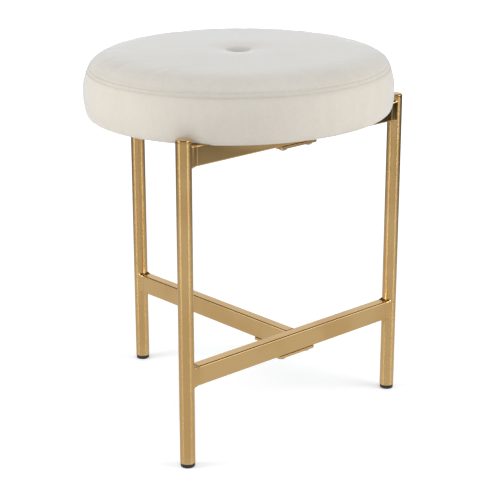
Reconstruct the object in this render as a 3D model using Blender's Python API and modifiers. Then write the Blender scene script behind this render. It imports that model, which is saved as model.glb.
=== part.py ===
"""Three-legged vanity stool: a welded frame of polished, brass-coloured tube under a
round velvet seat with one sewn tuft. Metres, +Z up, standing on z = 0, and the origin
is at the bottom centre of the stool's bounding box."""

import math

import bmesh
import bpy
from mathutils import Matrix, Vector

# General clearances
GAP = 0.0003
SCREW_CLEARANCE = 0.0003

# Legs
LEG_CIRCLE_RADIUS = 0.209
LEG_HEIGHT = 0.4155
TUBE_DIAMETER = 0.019
TUBE_WALL = 0.0012
CAP_THICKNESS = 0.003
CAP_EDGE = 0.0016
CAP_SPIGOT = 0.010

# Foot glides
GLIDE_HEIGHT = 0.005
GLIDE_EDGE = 0.0015
GLIDE_INSET = 0.0004
GLIDE_PLUG = 0.014

# Bars of rectangular tube
BAR_HEIGHT = 0.0254
BAR_WIDTH = 0.015
BAR_WALL = 0.0012
BAR_CORNER = 0.0018
LOWER_BAR_BOTTOM = 0.1055
LEG_RISE_OVER_BAR = 0.0087
FILLET_REACH = 0.0035
FILLET_RISE = 0.0025
FILLET_SIDE_RISE = 0.0012

# Plates under the two joints, and their screws and welded nuts
PLATE_THICKNESS = 0.0035
PLATE_LENGTH = 0.062
PLATE_TAIL = 0.060
PLATE_CORNER = 0.003
PLATE_NOTCH = 0.004
JOINT_SCREW_EDGE = 0.0095
JOINT_SCREW_DIAMETER = 0.006
JOINT_HEAD_DIAMETER = 0.0105
JOINT_HEAD_HEIGHT = 0.0033
JOINT_SCREW_TAIL = 0.001
NUT_ACROSS_FLATS = 0.010
NUT_THICKNESS = 0.005

# Screw heads and their hexagon sockets, as shares of the head's height or the thread
DOME_RIM_SHARE = 0.2
DOME_ANGLE = 65.0
HEAD_BEVEL = 0.0005
SOCKET_RADIUS_SHARE = 0.36
SOCKET_DEPTH_SHARE = 0.6

# Screws that hold the seat, and their tee nuts
SEAT_SCREW_DIAMETER = 0.005
SEAT_HEAD_DIAMETER = 0.0085
SEAT_HEAD_HEIGHT = 0.005
SEAT_SCREW_EDGE = 0.033
SEAT_SCREW_END = 0.002
HEAD_CLEARANCE = 0.0004
TEE_FLANGE_DIAMETER = 0.019
TEE_FLANGE_THICKNESS = 0.0012
TEE_BARREL_LENGTH = 0.009
TEE_BARREL_WALL = 0.0008

# Seat
CUSHION_LEG_CLEARANCE = 0.002
CUSHION_HEIGHT = 0.076
BAND_HEIGHT = 0.0585
BULGE_HEIGHT = 0.028
SEAM_INSET = 0.0075
SEAM_TILT = 60.0
EDGE_ROLL = 0.008
EDGE_FULLNESS = 2.8
CROWN_POWER = 9.0
COVER_THICKNESS = 0.0015
HEM_WIDTH = 0.022
BASE_THICKNESS = 0.014
BASE_INSET = 0.0145
DUST_COVER_THICKNESS = 0.0008
DUST_COVER_INSET = 0.0215

# Tuft, with its covered button, twine and washer
TUFT_DEPTH = 0.018
TUFT_WALL = 0.008
TUFT_POWER = 1.6
DISH_DEPTH = 0.0045
DISH_RADIUS = 0.030
TUFT_BUTTON_DIAMETER = 0.014
TUFT_BUTTON_HEIGHT = 0.005
TUFT_BUTTON_RIM_SHARE = 0.35
TUFT_BUTTON_FOOT_SHARE = 0.9
TUFT_BUTTON_CLEARANCE = 0.001
TWINE_DIAMETER = 0.0016
TWINE_CLEARANCE = 0.0004
BASE_TWINE_HOLE = 0.005
WASHER_DIAMETER = 0.018
WASHER_THICKNESS = 0.0012

# Facets of the turned and rounded shapes
SEAT_STEPS = 48
TUBE_STEPS = 48
SMALL_STEPS = 24
SCREW_STEPS = 16
HEX_STEPS = 6
CORNER_SEGMENTS = 3
FILLET_SHARES = (0.0, 0.2, 0.5, 1.0)
TUFT_SHARES = (0.0, 0.5, 1.0, 1.6)
CROWN_SHARES = (0.42, 0.76, 0.88, 0.95, 1.0)
BAND_STEPS = 5
EDGE_STEPS = 4
BUTTON_STEPS = 4
SHARP_ANGLE = 35.0
WELD_DISTANCE = 0.000001
CUTTER_OVERSHOOT = 0.001

# Levels and places worked out from the sizes above
TUBE_RADIUS = TUBE_DIAMETER / 2
TUBE_BORE_RADIUS = TUBE_RADIUS - TUBE_WALL
LEG_AZIMUTHS = {"left": 210.0, "right": 330.0, "rear": 90.0}
CROSS_BAR_Y = LEG_CIRCLE_RADIUS * math.sin(math.radians(LEG_AZIMUTHS["left"]))
CROSS_BAR_LENGTH = 2 * LEG_CIRCLE_RADIUS * math.cos(math.radians(LEG_AZIMUTHS["right"]))
UPPER_BAR_BOTTOM = LEG_HEIGHT - LEG_RISE_OVER_BAR - BAR_HEIGHT
SEAT_BOTTOM = UPPER_BAR_BOTTOM + BAR_HEIGHT + GAP
HEM_BOTTOM = SEAT_BOTTOM + DUST_COVER_THICKNESS + GAP
BASE_BOTTOM = HEM_BOTTOM + COVER_THICKNESS + GAP
BASE_TOP = BASE_BOTTOM + BASE_THICKNESS
CUSHION_RADIUS = LEG_CIRCLE_RADIUS - TUBE_RADIUS - CUSHION_LEG_CLEARANCE
SEAM_RADIUS = CUSHION_RADIUS - SEAM_INSET
SEAM_LEVEL = HEM_BOTTOM + BAND_HEIGHT
BULGE_LEVEL = HEM_BOTTOM + BULGE_HEIGHT
CROWN_LEVEL = HEM_BOTTOM + CUSHION_HEIGHT
UNDERSIDE_RADIUS = CUSHION_RADIUS - EDGE_ROLL
BASE_RADIUS = CUSHION_RADIUS - BASE_INSET
SEAT_SCREW_CIRCLE = BASE_RADIUS - SEAT_SCREW_EDGE
TUFT_FLOOR_RADIUS = TUFT_BUTTON_DIAMETER / 2 + TUFT_BUTTON_CLEARANCE
TWINE_HOLE_RADIUS = TWINE_DIAMETER / 2 + TWINE_CLEARANCE
REAR_REACH = LEG_CIRCLE_RADIUS + TUBE_RADIUS
SEAT_AXIS_Y = -(REAR_REACH - CUSHION_RADIUS) / 2

# Finishes: colour, roughness, metallic
FINISHES = {
    "brass_plate": ((0.80, 0.57, 0.27), 0.08, 1.0),
    "zinc_steel": ((0.62, 0.62, 0.60), 0.25, 1.0),
    "black_plastic": ((0.02, 0.02, 0.02), 0.45, 0.0),
    "cream_velvet": ((0.74, 0.71, 0.66), 0.85, 0.0),
    "seat_foam": ((0.80, 0.74, 0.52), 0.95, 0.0),
    "plywood": ((0.56, 0.40, 0.23), 0.70, 0.0),
    "black_cloth": ((0.03, 0.03, 0.03), 0.95, 0.0),
    "twine": ((0.70, 0.66, 0.58), 0.90, 0.0),
}


def new_collection(name):
    """A collection linked to the scene."""
    collection = bpy.data.collections.new(name)
    bpy.context.scene.collection.children.link(collection)
    return collection


def new_material(name):
    """A Principled material from the table of finishes."""
    colour, roughness, metallic = FINISHES[name]
    material = bpy.data.materials.new(name)
    material.use_nodes = True
    shader = material.node_tree.nodes["Principled BSDF"]
    shader.inputs["Base Color"].default_value = (*colour, 1.0)
    shader.inputs["Roughness"].default_value = roughness
    shader.inputs["Metallic"].default_value = metallic
    material.diffuse_color = (*colour, 1.0)
    return material


for leftover in list(bpy.data.objects):
    bpy.data.objects.remove(leftover)

PARTS = new_collection("vanity_stool")
CUTTERS = new_collection("vanity_stool_cutters")
SEAT_AXIS = bpy.data.objects.new("seat_axis", None)
SEAT_AXIS.location = (0.0, SEAT_AXIS_Y, 0.0)
PARTS.objects.link(SEAT_AXIS)


def add_part(name, mesh, finish, location=(0.0, 0.0, 0.0), turn=0.0):
    """A named piece, placed from the seat's axis and turned about its own Z axis."""
    piece = bpy.data.objects.new(name, mesh)
    PARTS.objects.link(piece)
    piece.parent = SEAT_AXIS
    piece.location = location
    piece.rotation_euler = (0.0, 0.0, math.radians(turn))
    material = new_material(finish)
    material.name = f"{name}_{finish}"
    if not mesh.materials:
        mesh.materials.append(material)
    piece.material_slots[0].link = "OBJECT"
    piece.material_slots[0].material = material
    return piece


def add_cutter(name, mesh, location=(0.0, 0.0, 0.0)):
    """A wire-drawn tool for Boolean cuts, placed from the seat's axis."""
    cutter = bpy.data.objects.new(name, mesh)
    CUTTERS.objects.link(cutter)
    cutter.parent = SEAT_AXIS
    cutter.location = location
    cutter.hide_render = True
    cutter.display_type = "WIRE"
    return cutter


def cut(piece, *cutters):
    """Takes each cutter away from the piece with an exact Boolean."""
    for cutter in cutters:
        boolean = piece.modifiers.new(f"cut_{cutter.name}", "BOOLEAN")
        boolean.operation = "DIFFERENCE"
        boolean.solver = "EXACT"
        boolean.object = cutter


def shaded(mesh):
    """Smooth shading with sharp edges past an angle."""
    mesh.shade_smooth()
    mesh.set_sharp_from_angle(angle=math.radians(SHARP_ANGLE))
    return mesh


def mesh_of(helper):
    """The evaluated, welded mesh of a helper object, which is then removed."""
    bpy.context.view_layer.update()
    evaluated = helper.evaluated_get(bpy.context.evaluated_depsgraph_get())
    mesh = bpy.data.meshes.new_from_object(evaluated)
    bpy.data.objects.remove(helper)
    welded = bmesh.new()
    welded.from_mesh(mesh)
    bmesh.ops.remove_doubles(welded, verts=welded.verts, dist=WELD_DISTANCE)
    welded.to_mesh(mesh)
    welded.free()
    return shaded(mesh)


def turned(outline, steps, closed=False):
    """Mesh of an (r, z) outline turned about Z. The outline runs down its outer side."""
    profile = bpy.data.meshes.new("profile")
    edges = [(i, i + 1) for i in range(len(outline) - 1)]
    if closed:
        edges.append((len(outline) - 1, 0))
    profile.from_pydata([(r, 0.0, z) for r, z in outline], edges, [])
    helper = bpy.data.objects.new("turned", profile)
    CUTTERS.objects.link(helper)
    screw = helper.modifiers.new("turn", "SCREW")
    screw.steps = steps
    screw.render_steps = steps
    screw.use_merge_vertices = True
    screw.merge_threshold = WELD_DISTANCE
    return mesh_of(helper)


def flat_piece(outlines, thickness):
    """Mesh of closed flat outlines, the inner ones as holes, as thick as given from z = 0 up."""
    curve = bpy.data.curves.new("flat", "CURVE")
    curve.dimensions = "2D"
    curve.fill_mode = "BOTH"
    curve.extrude = thickness / 2
    for outline in outlines:
        spline = curve.splines.new("POLY")
        spline.points.add(len(outline) - 1)
        for point, (x, y) in zip(spline.points, outline):
            point.co = (x, y, 0.0, 1.0)
        spline.use_cyclic_u = True
    helper = bpy.data.objects.new("flat", curve)
    CUTTERS.objects.link(helper)
    mesh = mesh_of(helper)
    mesh.transform(Matrix.Translation((0.0, 0.0, thickness / 2)))
    return mesh


def rod(radius, height, steps):
    """Mesh of a plain cylinder from z = 0 up."""
    shape = bmesh.new()
    middle = Matrix.Translation((0.0, 0.0, height / 2))
    bmesh.ops.create_cone(
        shape, cap_ends=True, segments=steps, radius1=radius, radius2=radius, depth=height, matrix=middle
    )
    mesh = bpy.data.meshes.new("rod")
    shape.to_mesh(mesh)
    shape.free()
    return shaded(mesh)


def circle(radius, steps, centre=(0.0, 0.0)):
    """Points round a circle, as a flat outline."""
    turns = [2 * math.pi * i / steps for i in range(steps)]
    return [(centre[0] + radius * math.cos(t), centre[1] + radius * math.sin(t)) for t in turns]


def rounded(corners, segments=CORNER_SEGMENTS):
    """A closed outline through corners given as (x, y, radius), each corner an arc."""
    points = []
    for index, (x, y, radius) in enumerate(corners):
        corner = Vector((x, y))
        to_last = (Vector(corners[index - 1][:2]) - corner).normalized()
        to_next = (Vector(corners[(index + 1) % len(corners)][:2]) - corner).normalized()
        half_angle = to_last.angle(to_next) / 2
        centre = corner + (to_last + to_next).normalized() * (radius / math.sin(half_angle))
        start = corner + to_last * (radius / math.tan(half_angle)) - centre
        first = math.atan2(start.y, start.x)
        sweep = math.pi - 2 * half_angle
        if to_last.x * to_next.y - to_last.y * to_next.x > 0:
            sweep = -sweep
        for step in range(segments + 1):
            angle = first + sweep * step / segments
            points.append((centre.x + radius * math.cos(angle), centre.y + radius * math.sin(angle)))
    return points


def rectangle(width, height, radius):
    """A rounded rectangle's outline, centred, counter-clockwise."""
    x, y = width / 2, height / 2
    return rounded([(x, -y, radius), (x, y, radius), (-x, y, radius), (-x, -y, radius)])


def lofted(rings):
    """Closed mesh through rings of equally many points, capped at both ends."""
    shape = bmesh.new()
    loops = [[shape.verts.new(point) for point in ring] for ring in rings]
    count = len(loops[0])
    for low, high in zip(loops, loops[1:]):
        for i in range(count):
            j = (i + 1) % count
            shape.faces.new((low[i], low[j], high[j], high[i]))
    shape.faces.new(list(reversed(loops[0])))
    shape.faces.new(loops[-1])
    mesh = bpy.data.meshes.new("loft")
    shape.to_mesh(mesh)
    shape.free()
    return shaded(mesh)


def leg_place(side):
    """Where a leg's axis meets the floor, from the seat's axis."""
    azimuth = math.radians(LEG_AZIMUTHS[side])
    return LEG_CIRCLE_RADIUS * math.cos(azimuth), LEG_CIRCLE_RADIUS * math.sin(azimuth)


# Frame


def make_legs():
    """Three open tubes, each with a welded top cap and a plastic glide pressed into its foot."""
    tube_bottom = GLIDE_HEIGHT + GAP
    cap_bottom = LEG_HEIGHT - CAP_THICKNESS
    tube_top = cap_bottom - GAP
    tube = turned(
        [
            (TUBE_RADIUS, tube_top),
            (TUBE_RADIUS, tube_bottom),
            (TUBE_BORE_RADIUS, tube_bottom),
            (TUBE_BORE_RADIUS, tube_top),
        ],
        TUBE_STEPS,
        closed=True,
    )
    spigot_radius = TUBE_BORE_RADIUS - GAP
    cap = turned(
        [
            (0.0, LEG_HEIGHT),
            *quarter_arc(TUBE_RADIUS, LEG_HEIGHT, CAP_EDGE, top=True),
            (TUBE_RADIUS, cap_bottom),
            (spigot_radius, cap_bottom),
            (spigot_radius, cap_bottom - CAP_SPIGOT),
            (0.0, cap_bottom - CAP_SPIGOT),
        ],
        SMALL_STEPS,
    )
    glide_radius = TUBE_RADIUS - GLIDE_INSET
    glide = turned(
        [
            (0.0, tube_bottom + GLIDE_PLUG),
            (spigot_radius, tube_bottom + GLIDE_PLUG),
            (spigot_radius, GLIDE_HEIGHT),
            (glide_radius, GLIDE_HEIGHT),
            *quarter_arc(glide_radius, 0.0, GLIDE_EDGE, top=False),
            (0.0, 0.0),
        ],
        SMALL_STEPS,
    )
    for side in LEG_AZIMUTHS:
        x, y = leg_place(side)
        add_part(f"leg_tube_{side}", tube, "brass_plate", (x, y, 0.0))
        add_part(f"leg_cap_{side}", cap, "brass_plate", (x, y, 0.0))
        add_part(f"foot_glide_{side}", glide, "black_plastic", (x, y, 0.0))


def quarter_arc(radius, level, edge, top):
    """Points that round a turned shape's rim at a level, listed down the outer side."""
    points = []
    for step in range(CORNER_SEGMENTS + 1):
        angle = math.pi / 2 * step / CORNER_SEGMENTS
        if top:
            points.append((radius - edge + edge * math.sin(angle), level - edge + edge * math.cos(angle)))
        else:
            points.append((radius - edge + edge * math.cos(angle), level + edge - edge * math.sin(angle)))
    return points


def fillet_share(distance):
    """How much of its full rise the weld fillet has at a distance from the leg's face."""
    share = min(max(1.0 - distance / FILLET_REACH, 0.0), 1.0)
    return 1.0 - math.sqrt(1.0 - share * share)


def bar_ring(station, share):
    """The bar's outline at a station along X, swollen by a share of the fillet's rises."""
    side, rise = FILLET_SIDE_RISE * share, FILLET_RISE * share
    outline = rectangle(BAR_WIDTH + 2 * side, BAR_HEIGHT + 2 * rise, BAR_CORNER + side)
    return [(station, y, z) for y, z in outline]


def fillet_stations():
    """Distances from a leg's axis, nearest first, at which a filleted bar's outline is set."""
    return [0.0] + [TUBE_RADIUS + share * FILLET_REACH for share in FILLET_SHARES]


def make_cross_bar(name, bottom, leg_spaces):
    """Bar between the left and right legs, hollow, with a weld fillet at each leg."""
    half = CROSS_BAR_LENGTH / 2
    left = [bar_ring(-half + s, fillet_share(s - TUBE_RADIUS)) for s in fillet_stations()]
    right = [bar_ring(half - s, fillet_share(s - TUBE_RADIUS)) for s in reversed(fillet_stations())]
    middle = (0.0, CROSS_BAR_Y, bottom + BAR_HEIGHT / 2)
    bar = add_part(name, lofted(left + right), "brass_plate", middle)
    cavity = lofted([bar_cavity_ring(-half), bar_cavity_ring(half)])
    cut(bar, leg_spaces["left"], leg_spaces["right"], add_cutter(f"{name}_cavity", cavity, middle))
    return bar


def make_stem_bar(name, bottom, leg_spaces):
    """Bar from the cross bar's back face to the rear leg, hollow, welded at the leg alone."""
    front = CROSS_BAR_Y + BAR_WIDTH / 2 + GAP
    back = leg_place("rear")[1]
    rings = [bar_ring(front, 0.0)]
    rings += [bar_ring(back - s, fillet_share(s - TUBE_RADIUS)) for s in reversed(fillet_stations())]
    quarter_turn = Matrix.Rotation(math.pi / 2, 4, "Z")
    mesh = lofted(rings)
    mesh.transform(quarter_turn)
    middle = (0.0, 0.0, bottom + BAR_HEIGHT / 2)
    bar = add_part(name, mesh, "brass_plate", middle)
    cavity = lofted([bar_cavity_ring(front - BAR_WIDTH), bar_cavity_ring(back)])
    cavity.transform(quarter_turn)
    cut(bar, leg_spaces["rear"], add_cutter(f"{name}_cavity", cavity, middle))
    return bar


def bar_cavity_ring(station):
    """The hollow's outline inside a bar at a station along X."""
    y = BAR_WIDTH / 2 - BAR_WALL
    z = BAR_HEIGHT / 2 - BAR_WALL
    return [(station, y, -z), (station, y, z), (station, -y, z), (station, -y, -z)]


def drill(bar, name, place, wall_bottom, radius):
    """Cuts an upright round hole through one wall of a bar."""
    height = BAR_WALL + 2 * CUTTER_OVERSHOOT
    hole = rod(radius, height, SCREW_STEPS)
    cut(bar, add_cutter(name, hole, (*place, wall_bottom - CUTTER_OVERSHOOT)))


def button_head(radius, height):
    """Outline of a domed screw head below z = 0, from its bearing face to its middle."""
    rim = height * DOME_RIM_SHARE
    widest = math.radians(DOME_ANGLE)
    dome = []
    for step in range(1, CORNER_SEGMENTS + 1):
        angle = widest * step / CORNER_SEGMENTS
        drop = rim + (height - rim) * math.sin(angle) / math.sin(widest)
        dome.append((radius * math.cos(angle), -drop))
    return [(radius, 0.0), (radius, -rim), *dome, (0.0, -height)]


def cap_head(radius, height):
    """Outline of a cylindrical screw head below z = 0, with a bevelled rim."""
    return [(radius, 0.0), (radius, -height + HEAD_BEVEL), (radius - HEAD_BEVEL, -height), (0.0, -height)]


def screw_mesh(diameter, head_outline, head_height, length):
    """Socket screw standing head down: the head's bearing face is at z = 0."""
    shank = (diameter - SCREW_CLEARANCE) / 2
    outline = [(0.0, length), (shank, length), (shank, 0.0), *head_outline]
    body = add_cutter("screw_blank", turned(outline, SCREW_STEPS))
    depth = head_height * SOCKET_DEPTH_SHARE + CUTTER_OVERSHOOT
    hexagon = rod(diameter * SOCKET_RADIUS_SHARE, depth, HEX_STEPS)
    socket = add_cutter("screw_socket", hexagon, (0.0, 0.0, -head_height - CUTTER_OVERSHOOT))
    cut(body, socket)
    mesh = mesh_of(body)
    bpy.data.objects.remove(socket)
    return mesh


def make_joint(level, bar_bottom, cross_bar):
    """Plate under the T joint: welded to the stem, screwed into nuts inside the cross bar."""
    top = bar_bottom - GAP
    bottom = top - PLATE_THICKNESS
    hole_radius = JOINT_SCREW_DIAMETER / 2 + SCREW_CLEARANCE
    half, edge = PLATE_LENGTH / 2, BAR_WIDTH / 2
    tail = BAR_WIDTH / 2 + PLATE_TAIL
    outline = rounded(
        [
            (-half, -edge, PLATE_CORNER),
            (half, -edge, PLATE_CORNER),
            (half, edge, PLATE_CORNER),
            (edge, edge, PLATE_NOTCH),
            (edge, tail, PLATE_CORNER),
            (-edge, tail, PLATE_CORNER),
            (-edge, edge, PLATE_NOTCH),
            (-half, edge, PLATE_CORNER),
        ]
    )
    offsets = (JOINT_SCREW_EDGE - half, half - JOINT_SCREW_EDGE)
    holes = [circle(hole_radius, SCREW_STEPS, (x, 0.0)) for x in offsets]
    plate = flat_piece([outline, *holes], PLATE_THICKNESS)
    add_part(f"{level}_joint_plate", plate, "brass_plate", (0.0, CROSS_BAR_Y, bottom))

    nut_bottom = bar_bottom + BAR_WALL + GAP
    screw_length = nut_bottom + NUT_THICKNESS + JOINT_SCREW_TAIL - (bottom - GAP)
    head = button_head(JOINT_HEAD_DIAMETER / 2, JOINT_HEAD_HEIGHT)
    screw = screw_mesh(JOINT_SCREW_DIAMETER, head, JOINT_HEAD_HEIGHT, screw_length)
    hexagon = circle(NUT_ACROSS_FLATS / math.sqrt(3.0), HEX_STEPS)
    nut = flat_piece([hexagon, circle(hole_radius, SCREW_STEPS)], NUT_THICKNESS)
    for side, x in zip(("left", "right"), offsets):
        add_part(f"{level}_joint_screw_{side}", screw, "zinc_steel", (x, CROSS_BAR_Y, bottom - GAP))
        add_part(f"{level}_weld_nut_{side}", nut, "zinc_steel", (x, CROSS_BAR_Y, nut_bottom))
        drill(cross_bar, f"{level}_joint_hole_{side}", (x, CROSS_BAR_Y), bar_bottom, hole_radius)


# Seat


def crown_level(radius):
    """Height of the cushion's top at a radius: a flat crown that rolls down to the seam,
    less a shallow dish and a steep tuft round the button."""
    roll = (CROWN_LEVEL - SEAM_LEVEL) * (radius / SEAM_RADIUS) ** CROWN_POWER
    dish = DISH_DEPTH * math.exp(-((radius / DISH_RADIUS) ** 2))
    outside = max(radius - TUFT_FLOOR_RADIUS, 0.0) / TUFT_WALL
    tuft = TUFT_DEPTH * math.exp(-(outside**TUFT_POWER))
    return CROWN_LEVEL - roll - dish - tuft


def top_outline():
    """The top panel's outer side, from the tuft's hole out to the seam."""
    tuft_radii = [TUFT_FLOOR_RADIUS + TUFT_WALL * share for share in TUFT_SHARES]
    crown_radii = [SEAM_RADIUS * share for share in CROWN_SHARES]
    radii = [TWINE_HOLE_RADIUS, *tuft_radii, DISH_RADIUS, *crown_radii]
    return [(radius, crown_level(radius)) for radius in radii]


def band_outline():
    """The side band's outer side, from the seam down to the hem under the seat."""
    points = []
    for step in range(BAND_STEPS):
        share = step / BAND_STEPS
        radius = SEAM_RADIUS + SEAM_INSET * math.sin(math.pi / 2 * share)
        points.append((radius, SEAM_LEVEL - (SEAM_LEVEL - BULGE_LEVEL) * share))
    for step in range(EDGE_STEPS + 1):
        angle = math.pi / 2 * step / EDGE_STEPS
        out = max(math.cos(angle), 0.0) ** (2 / EDGE_FULLNESS)
        down = math.sin(angle) ** (2 / EDGE_FULLNESS)
        level = BULGE_LEVEL - BULGE_HEIGHT * down
        points.append((UNDERSIDE_RADIUS + EDGE_ROLL * out, level))
    points.append((UNDERSIDE_RADIUS - HEM_WIDTH, HEM_BOTTOM))
    return points


def inward(outline, distance, first=None, last=None):
    """The outline moved to its inner side, with its end directions given where they matter."""
    moved = []
    for index, point in enumerate(outline):
        here = Vector(point)
        normals = []
        if index > 0:
            along = here - Vector(outline[index - 1])
            normals.append(Vector((along.y, -along.x)).normalized())
        if index < len(outline) - 1:
            along = Vector(outline[index + 1]) - here
            normals.append(Vector((along.y, -along.x)).normalized())
        normal = sum(normals, Vector((0.0, 0.0))).normalized()
        step = normal * (distance / normal.dot(normals[0]))
        if index == 0 and first is not None:
            step = first * distance
        if index == len(outline) - 1 and last is not None:
            step = last * distance
        moved.append(tuple(here + step))
    return moved


def shell_outline(outline, first=None, last=None):
    """A closed outline for a turned shell as thick as the cover, inside the given one."""
    return outline + inward(outline, COVER_THICKNESS, first, last)[::-1]


def make_cover():
    """Velvet cover of two sewn pieces: the crowned top panel and the side band."""
    top = top_outline()
    band = band_outline()
    tilt = math.radians(SEAM_TILT)
    seam_in = Vector((-math.sin(tilt), -math.cos(tilt)))
    across_seam = Vector((-seam_in.y, seam_in.x)) * (GAP / 2)
    top[-1] = tuple(Vector(top[-1]) - across_seam)
    band[0] = tuple(Vector(band[0]) + across_seam)
    straight_down = Vector((0.0, -1.0))
    straight_up = Vector((0.0, 1.0))
    panel = shell_outline(top, first=straight_down, last=seam_in)
    add_part("cover_top_panel", turned(panel, SEAT_STEPS, closed=True), "cream_velvet")
    side = shell_outline(band, first=seam_in, last=straight_up)
    add_part("cover_side_band", turned(side, SEAT_STEPS, closed=True), "cream_velvet")


def make_foam():
    """Foam pad inside the cover, hollowed underneath for the plywood base."""
    depth = COVER_THICKNESS + GAP
    top = inward(top_outline(), depth, first=Vector((0.0, -1.0)))[:-1]
    band = inward(band_outline(), depth)
    side = [point for point in band[1:-1] if point[1] > BASE_BOTTOM]
    foot = (UNDERSIDE_RADIUS, BASE_BOTTOM)
    pocket = BASE_RADIUS + GAP
    ceiling = BASE_TOP + GAP
    outline = [
        *top,
        *side,
        foot,
        (pocket, BASE_BOTTOM),
        (pocket, ceiling),
        (TWINE_HOLE_RADIUS, ceiling),
    ]
    add_part("foam_pad", turned(outline, SEAT_STEPS, closed=True), "seat_foam")


def seat_screw_places():
    """Where each seat screw stands: two in the cross bar and two in the stem bar."""
    half = math.sqrt(SEAT_SCREW_CIRCLE**2 - CROSS_BAR_Y**2)
    return {
        "left": (-half, CROSS_BAR_Y),
        "right": (half, CROSS_BAR_Y),
        "middle": (0.0, (CROSS_BAR_Y + SEAT_SCREW_CIRCLE) / 2),
        "rear": (0.0, SEAT_SCREW_CIRCLE),
    }


def make_seat_base():
    """Plywood disc, counterbored from above for the tee nuts and drilled for the twine."""
    outline = circle(BASE_RADIUS, SEAT_STEPS)
    twine_hole = circle(BASE_TWINE_HOLE / 2, SCREW_STEPS)
    disc = flat_piece([outline, twine_hole], BASE_THICKNESS)
    base = add_part("plywood_base", disc, "plywood", (0.0, 0.0, BASE_BOTTOM))
    barrel_radius = tee_barrel_radius() + GAP
    flange_radius = TEE_FLANGE_DIAMETER / 2 + GAP
    shoulder = BASE_TOP - TEE_FLANGE_THICKNESS - GAP
    pocket = turned(
        [
            (0.0, BASE_TOP + CUTTER_OVERSHOOT),
            (flange_radius, BASE_TOP + CUTTER_OVERSHOOT),
            (flange_radius, shoulder),
            (barrel_radius, shoulder),
            (barrel_radius, BASE_BOTTOM - CUTTER_OVERSHOOT),
            (0.0, BASE_BOTTOM - CUTTER_OVERSHOOT),
        ],
        SCREW_STEPS,
    )
    for side, (x, y) in seat_screw_places().items():
        cut(base, add_cutter(f"tee_nut_pocket_{side}", pocket, (x, y, 0.0)))


def tee_barrel_radius():
    """Outer radius of a tee nut's barrel, round its screw."""
    return SEAT_SCREW_DIAMETER / 2 + SCREW_CLEARANCE + TEE_BARREL_WALL


def make_seat_fixings(cross_bar, stem_bar):
    """Screws inside the upper bars, each up through the bar's top wall into a tee nut."""
    bore = SEAT_SCREW_DIAMETER / 2 + SCREW_CLEARANCE
    barrel = tee_barrel_radius()
    flange = TEE_FLANGE_DIAMETER / 2
    under_flange = BASE_TOP - TEE_FLANGE_THICKNESS
    tee_nut = turned(
        [
            (bore, BASE_TOP),
            (flange, BASE_TOP),
            (flange, under_flange),
            (barrel, under_flange),
            (barrel, BASE_TOP - TEE_BARREL_LENGTH),
            (bore, BASE_TOP - TEE_BARREL_LENGTH),
        ],
        SCREW_STEPS,
        closed=True,
    )
    top_wall = UPPER_BAR_BOTTOM + BAR_HEIGHT - BAR_WALL
    head_level = top_wall - GAP
    length = BASE_TOP - SEAT_SCREW_END - head_level
    head = cap_head(SEAT_HEAD_DIAMETER / 2, SEAT_HEAD_HEIGHT)
    screw = screw_mesh(SEAT_SCREW_DIAMETER, head, SEAT_HEAD_HEIGHT, length)
    access = SEAT_HEAD_DIAMETER / 2 + HEAD_CLEARANCE
    for side, (x, y) in seat_screw_places().items():
        add_part(f"seat_tee_nut_{side}", tee_nut, "zinc_steel", (x, y, 0.0))
        add_part(f"seat_screw_{side}", screw, "zinc_steel", (x, y, head_level))
        bar = cross_bar if side in ("left", "right") else stem_bar
        drill(bar, f"seat_screw_hole_{side}", (x, y), top_wall, bore)
        drill(bar, f"seat_access_hole_{side}", (x, y), UPPER_BAR_BOTTOM, access)


def make_dust_cover():
    """Black cloth disc that hides the hem and the underside of the base."""
    bore = SEAT_SCREW_DIAMETER / 2 + SCREW_CLEARANCE
    holes = [circle(bore, SCREW_STEPS, place) for place in seat_screw_places().values()]
    rim = circle(CUSHION_RADIUS - DUST_COVER_INSET, SEAT_STEPS)
    disc = flat_piece([rim, *holes], DUST_COVER_THICKNESS)
    add_part("dust_cover", disc, "black_cloth", (0.0, 0.0, SEAT_BOTTOM))


def make_tuft():
    """Covered button, the twine that pulls it down, and the washer that holds the twine."""
    floor = crown_level(0.0) + GAP
    radius = TUFT_BUTTON_DIAMETER / 2
    rim = TUFT_BUTTON_HEIGHT * TUFT_BUTTON_RIM_SHARE
    dome = []
    for step in range(BUTTON_STEPS + 1):
        angle = math.pi / 2 * step / BUTTON_STEPS
        rise = rim + (TUFT_BUTTON_HEIGHT - rim) * math.cos(angle)
        dome.append((radius * math.sin(angle), floor + rise))
    foot = radius * TUFT_BUTTON_FOOT_SHARE
    button = turned([*dome, (foot, floor), (0.0, floor)], SMALL_STEPS)
    add_part("tuft_button", button, "cream_velvet")

    twine = rod(TWINE_DIAMETER / 2, floor - GAP - HEM_BOTTOM, SCREW_STEPS)
    add_part("tuft_twine", twine, "twine", (0.0, 0.0, HEM_BOTTOM))

    washer_rings = [circle(WASHER_DIAMETER / 2, SMALL_STEPS), circle(TWINE_HOLE_RADIUS, SCREW_STEPS)]
    washer = flat_piece(washer_rings, WASHER_THICKNESS)
    washer_bottom = BASE_BOTTOM - GAP - WASHER_THICKNESS
    add_part("tuft_washer", washer, "black_plastic", (0.0, 0.0, washer_bottom))


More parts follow.
